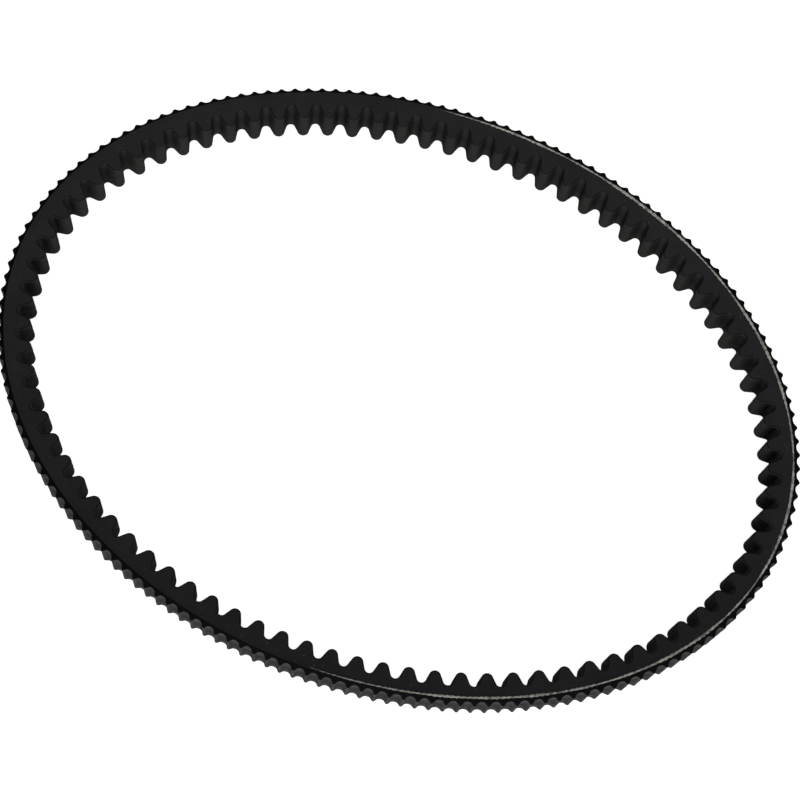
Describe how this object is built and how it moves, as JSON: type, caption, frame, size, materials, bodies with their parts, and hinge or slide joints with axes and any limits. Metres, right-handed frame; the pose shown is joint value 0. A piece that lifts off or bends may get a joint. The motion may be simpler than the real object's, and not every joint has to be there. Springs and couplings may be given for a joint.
{
  "type": "v belt",
  "caption": "Endless rubber V-belt with rounded cogs inside, small cogs outside, bevelled shoulders and a wound tensile cord.",
  "frame": {"origin": "middle of the loop at the middle of the belt's width", "axes": "+Z across the belt's width, which is up as the belt lies on its side; +X along the long axis of the oval loop; +Y along its short axis"},
  "size_m": [0.3948, 0.288, 0.0312],
  "materials": {
    "body_rubber": "ground matte rubber",
    "adhesion_rubber": "ground matte rubber, slightly smoother than the body",
    "cord": "undyed twisted fibre cord, fuzzy where it is cut",
    "outer_fabric": "rubber-soaked woven fabric, slight sheen",
    "inner_fabric": "rubber-soaked woven fabric, slight sheen"
  },
  "bodies": {
    "root": {"outer_facing_fabric": "outer_fabric", "outer_cog_rubber": "body_rubber", "adhesion_rubber": "adhesion_rubber", "tensile_cord": "cord", "inner_cog_rubber": "body_rubber", "inner_facing_fabric": "inner_fabric"}
  },
  "joints": []
}
